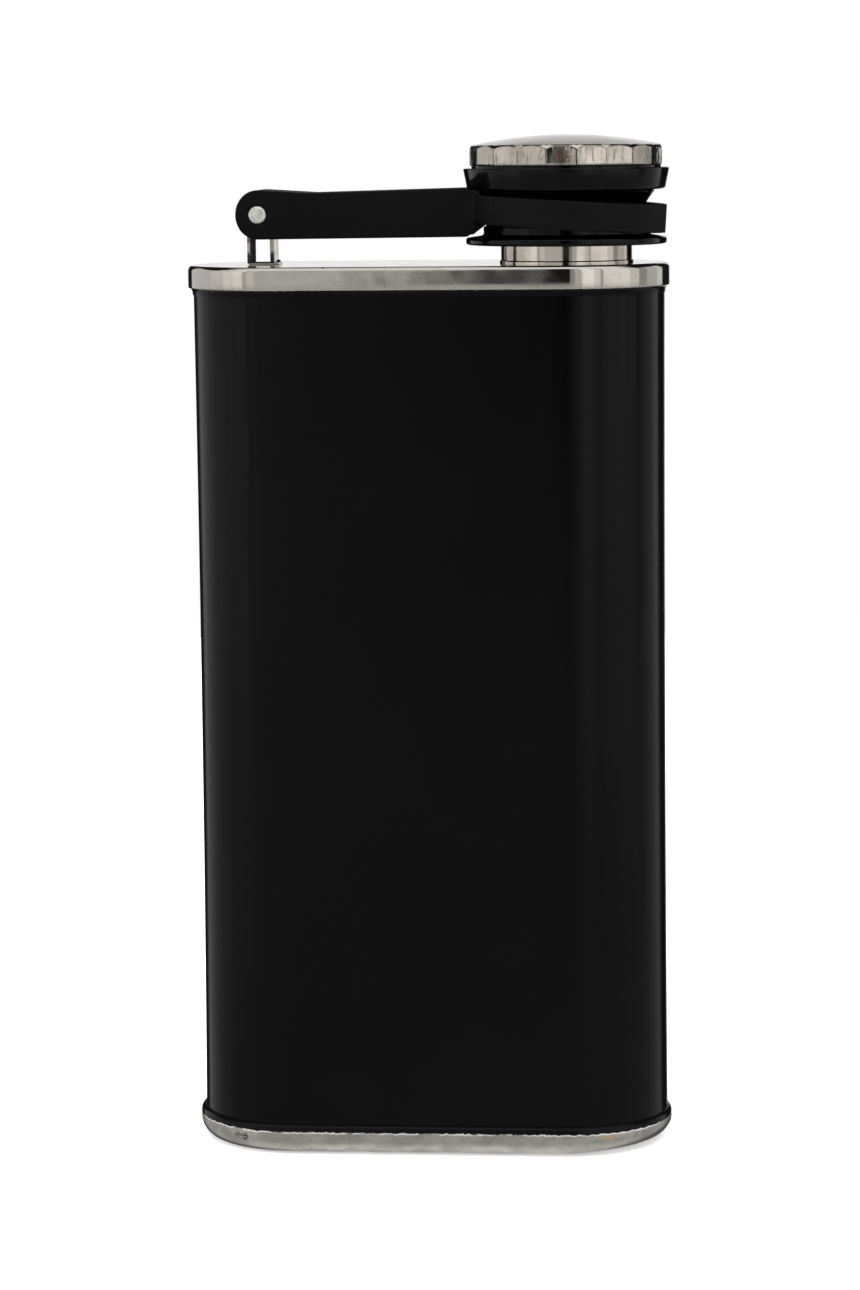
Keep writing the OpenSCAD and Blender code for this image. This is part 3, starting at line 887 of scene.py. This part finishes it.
def make_cover(material):
    """The stamped cover: a dome whose shoulder is cut by upright flutes, its lower edge rolled in."""
    wall, band_h, shoulder_h, shoulder_run = 0.5 * MM, 2.15 * MM, 1.0 * MM, 0.55 * MM
    low, band_top = COVER_LO.z, COVER_LO.z + band_h
    dome_r = COVER_R - shoulder_run
    join_a = 75
    join_r = dome_r + shoulder_run * math.cos(math.radians(join_a))
    join_z = band_top + shoulder_h * math.sin(math.radians(join_a))
    crown = COVER_HI.z - join_z
    angles = turns(FLUTES * 20)
    limits = [flute_limit(t) for t in angles]
    bm = bmesh.new()

    def skin(r):
        """Height of the dome and its shoulder at radius r."""
        if r > join_r:
            run = min(1.0, (r - dome_r) / shoulder_run)
            return band_top + shoulder_h * math.sqrt(max(0.0, 1 - run * run))
        return join_z + crown * (1 - (r / join_r) ** 2)

    def ring(place):
        """A ring of points at the radius and height that place gives for each reach of the flutes."""
        points = []
        for t, limit in zip(angles, limits):
            r, z = place(limit)
            points.append(bm.verts.new((CAP_X + r * math.cos(t), r * math.sin(t), z)))
        return points

    rings = []
    curl, soft = 0.22 * MM, 0.12 * MM
    rings.append(ring(lambda m: (CORE_R + 0.02 * MM, low + 0.05 * MM)))
    for a in (-90, -60, -30, 0):
        ca, sa = math.cos(math.radians(a)), math.sin(math.radians(a))
        rings.append(ring(lambda m: (m - curl + curl * ca, low + curl + curl * sa)))
    for i in range(1, 9):
        share = i / 9
        rings.append(ring(lambda m: (m, low + curl + (skin(m) - soft - low - curl) * share)))
    for inset, drop in ((0.0, 0.12), (0.02, 0.06), (0.06, 0.02)):
        rings.append(ring(lambda m: (m - inset * MM, skin(m - inset * MM) - drop * MM)))
    for i in range(1, 34):
        share = 1 - (i / 34) ** 1.2
        rings.append(ring(lambda m: ((m - 0.1 * MM) * share, skin((m - 0.1 * MM) * share))))
    rings.append([bm.verts.new((CAP_X, 0, COVER_HI.z))])
    join_rings(bm, rings, False)
    inner = [ring(lambda m: (CORE_R + 0.02 * MM, low + 0.05 * MM)),
             ring(lambda m: (CORE_R + 0.02 * MM, band_top)),
             ring(lambda m: (CORE_R - 0.4 * MM, band_top + 0.2 * MM)),
             [bm.verts.new((CAP_X, 0, COVER_HI.z - wall))]]
    join_rings(bm, inner, False)
    piece = finish_mesh(bm, "fluted_cover", material, 28)
    mark_creases(piece.data)
    return piece


def mark_creases(mesh):
    """Marks the ridges between flutes and the line where flutes meet the dome, for the material's painted
    shade.
    """
    crease = mesh.attributes.new("crease", "FLOAT", "POINT")
    thin, thick = 0.01 * MM, 0.03 * MM
    for v, item in zip(mesh.vertices, crease.data):
        turn = math.atan2(v.co.y, v.co.x - CAP_X)
        inward = flute_limit(turn) - math.hypot(v.co.x - CAP_X, v.co.y)
        on_ridge = abs((math.degrees(turn) * FLUTES / 360) % 1 - 0.5) < 0.03 and inward < thick
        item.value = 1.0 if on_ridge or thin < inward < thick else 0.0


def make_gasket(material):
    """A flat disc that fills the bore under its ceiling."""
    soft = 0.2 * MM
    profile = [(0, SEAL_LO.z), (7.5 * MM, SEAL_LO.z), (8 * MM, SEAL_LO.z)]
    profile += arc(BORE_R - soft, SEAL_LO.z + soft, soft, soft, -90, 0, 5)
    profile += arc(BORE_R - soft, SEAL_HI.z - soft, soft, soft, 0, 90, 5) + [(0, SEAL_HI.z)]
    bm = bmesh.new()
    revolve(bm, profile, 128)
    return finish_mesh(bm, "sealing_disc", material, 40)


# ---------------------------------------------------------------- studio

def make_floor():
    """A round pale tabletop that glows a little and isn't mirrored in the flask."""
    radius, glow, white = 0.62, 0.42, rgb(1, 1, 1)
    bm = bmesh.new()
    bmesh.ops.create_circle(bm, cap_ends=True, segments=128, radius=radius)
    mesh = bpy.data.meshes.new("floor")
    bm.to_mesh(mesh)
    bm.free()
    floor = bpy.data.objects.new("floor", mesh)
    bpy.context.scene.collection.objects.link(floor)
    floor.visible_glossy = False
    n = Nodes("floor")
    color = n.mix(n.noise(60 * MM, 2), rgb(0.88, 0.88, 0.88), rgb(0.9, 0.9, 0.9))
    n.finish(color, 0.7, specular_ior_level=0.1, emission_color=white, emission_strength=glow)
    mesh.materials.append(n.material)


# What stands round the flask: its two edges in degrees from the front towards +X, and its brightness
STUDIO = (
    ("left wall", -141, -95, 0.82),
    ("left screen", -95, -75, 0.95),
    ("left softbox", -75, -62, 1.12),
    ("left strip", -62, -50, 1.35),
    ("left frame", -50, -46, 0.55),
    ("left panel", -46, -36, 0.92),
    ("left fill", -36, -4.8, 0.72),
    ("gap edge", -4.8, -3.4, 0.1),
    ("camera gap", -3.4, 8, 0.0),
    ("right fill", 8, 13, 0.4),
    ("right panel", 13, 21, 0.72),
    ("right strip", 21, 34, 1.4),
    ("right softbox", 34, 42, 1.05),
    ("right frame", 42, 45, 0.45),
    ("right screen", 45, 78, 1.22),
    ("far screen", 78, 92, 0.95),
    ("far frame", 92, 104, 0.42),
    ("right wall", 104, 124, 0.68),
    ("right edge", 124, 137, 0.95),
)
BACKDROP_LEFT, BACKDROP_RIGHT = 0.92, 0.86
CEILING = 1.3
FAR_CEILING = 0.8
TABLE = 0.57
FOREGROUND = 1.0
DARK = 0.015


def make_world():
    """What the flask mirrors, and plain white for the camera.

    The studio goes round by direction, with a bright backdrop behind it between two dark flags. Over it lie
    a ceiling and a darker far ceiling, and under it the table and a bright foreground. A direction's z runs
    from -1, straight down, to 1, straight up."""
    world = bpy.data.worlds.new("studio")
    bpy.context.scene.world = world
    world.use_nodes = True
    world.node_tree.nodes.clear()
    n = NodeTree(world.node_tree)

    def mix(share, a, b):
        return n.mix(share, a, b, kind="FLOAT")

    way = n.add("ShaderNodeSeparateXYZ")
    n.link(n.add("ShaderNodeTexCoord").outputs["Generated"], way.inputs[0])
    x, y, z = way.outputs
    azimuth = n.times(n.math("ARCTAN2", x, n.times(y, -1.0)), 180 / math.pi)
    round_off = n.math("ABSOLUTE", azimuth)
    blur = 0.8
    sides = DARK
    for _, start, end, power in STUDIO:
        past_start = n.ramp(azimuth, start - blur, start + blur)
        inside = n.times(past_start, n.ramp(azimuth, end + blur, end - blur))
        sides = n.plus(sides, n.times(inside, power))
    fade = n.times(n.ramp(z, -0.065, -0.14), n.math("LESS_THAN", round_off, 12.0))
    sides = mix(fade, sides, n.math("MAXIMUM", sides, TABLE))
    backdrop = mix(n.ramp(x, -0.25, 0.25), BACKDROP_LEFT, BACKDROP_RIGHT)
    backdrop = n.times(backdrop, mix(n.ramp(z, 0.05, 0.45), 1.0, 0.6))
    sides = mix(n.ramp(round_off, 167, 169), sides, backdrop)
    behind = n.ramp(y, -0.1, 0.1)
    over = mix(behind, CEILING, mix(n.ramp(z, 0.76, 0.88), DARK, FAR_CEILING))
    ceiling_z = mix(behind, 0.75, 0.45)
    light = mix(n.ramp(n.minus(z, ceiling_z), -0.06, 0.06), sides, over)
    table = n.times(n.ramp(z, -0.04, -0.24), n.ramp(round_off, 145, 133))
    light = mix(table, light, TABLE)
    light = mix(n.ramp(z, -0.72, -1.0), light, FOREGROUND)
    seen = mix(n.add("ShaderNodeLightPath").outputs["Is Camera Ray"], light, 1.0)
    background = n.add("ShaderNodeBackground")
    n.link(seen, background.inputs["Strength"])
    n.link(rgb(1, 1, 1), background.inputs["Color"])
    n.link(background.outputs[0], n.add("ShaderNodeOutputWorld").inputs["Surface"])


def make_lamp():
    """A wide soft light from above that whitens the floor and stays out of reflections."""
    data = bpy.data.lights.new("overhead", "SUN")
    width, power = math.radians(100), 3.3
    data.angle = width
    data.energy = power
    lamp = bpy.data.objects.new("overhead", data)
    lamp.location = (0, 0, 1)
    lamp.visible_glossy = False
    bpy.context.scene.collection.objects.link(lamp)


def make_camera():
    """A long lens a little right of the flask's front and level with its cap, tipped down slightly."""
    place = Vector((0.0501, -0.6046, 0.1565))
    turn, tip, roll = math.radians(-4.746), math.radians(6.76), math.radians(-0.546)
    ahead = Vector((math.sin(turn), math.cos(turn), 0))
    right = Vector((math.cos(turn), -math.sin(turn), 0))
    up = Vector((0, 0, 1))
    view = ahead * math.cos(tip) - up * math.sin(tip)
    top = up * math.cos(tip) + ahead * math.sin(tip)
    across = right * math.cos(roll) + top * math.sin(roll)
    top = top * math.cos(roll) - right * math.sin(roll)
    data = bpy.data.cameras.new("camera")
    data.sensor_width, data.lens = 36, 109.75
    data.shift_x, data.shift_y = -0.0006, -0.0357
    camera = bpy.data.objects.new("camera", data)
    camera.matrix_world = Matrix.Translation(place) @ Matrix((across, top, -view)).transposed().to_4x4()
    bpy.context.scene.collection.objects.link(camera)
    bpy.context.scene.camera = camera


# ---------------------------------------------------------------- assembly

POLISHED = polished_steel()
GLOSS = gloss_plastic()

for make, material, node, body, slot in (
    (make_body_tube, body_paint(), "body_tube", "flask", "painted_body"),
    (make_bottom_cap, bottom_steel(), "bottom_cap", "flask", "bottom_steel"),
    (make_top_cap, top_steel(), "top_cap", "flask", "top_steel"),
    (make_neck, POLISHED, "neck", "flask", "polished_steel"),
    (make_seam, POLISHED, "neck_seam_ring", "flask", "polished_steel"),
    (make_strap, strap_steel(), "hinge_strap", "flask", "polished_steel"),
    (make_pin, pin_steel(), "hinge_pin", "lever", "pin_steel"),
    (make_lever, matte_plastic(), "lever", "lever", "matte_black"),
    (make_cap_body, GLOSS, "cap_body", "cap", "gloss_black"),
    (make_retainer, GLOSS, "retaining_ring", "cap", "gloss_black"),
    (make_cover, cover_steel(), "cap_cover", "cap", "cover_steel"),
    (make_gasket, silicone(), "cap_gasket", "cap", "seal"),
):
    piece = make(material)
    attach(piece, body)
    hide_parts(node)

make_floor()
make_world()
make_lamp()
make_camera()
bpy.context.scene.view_settings.view_transform = "Standard"
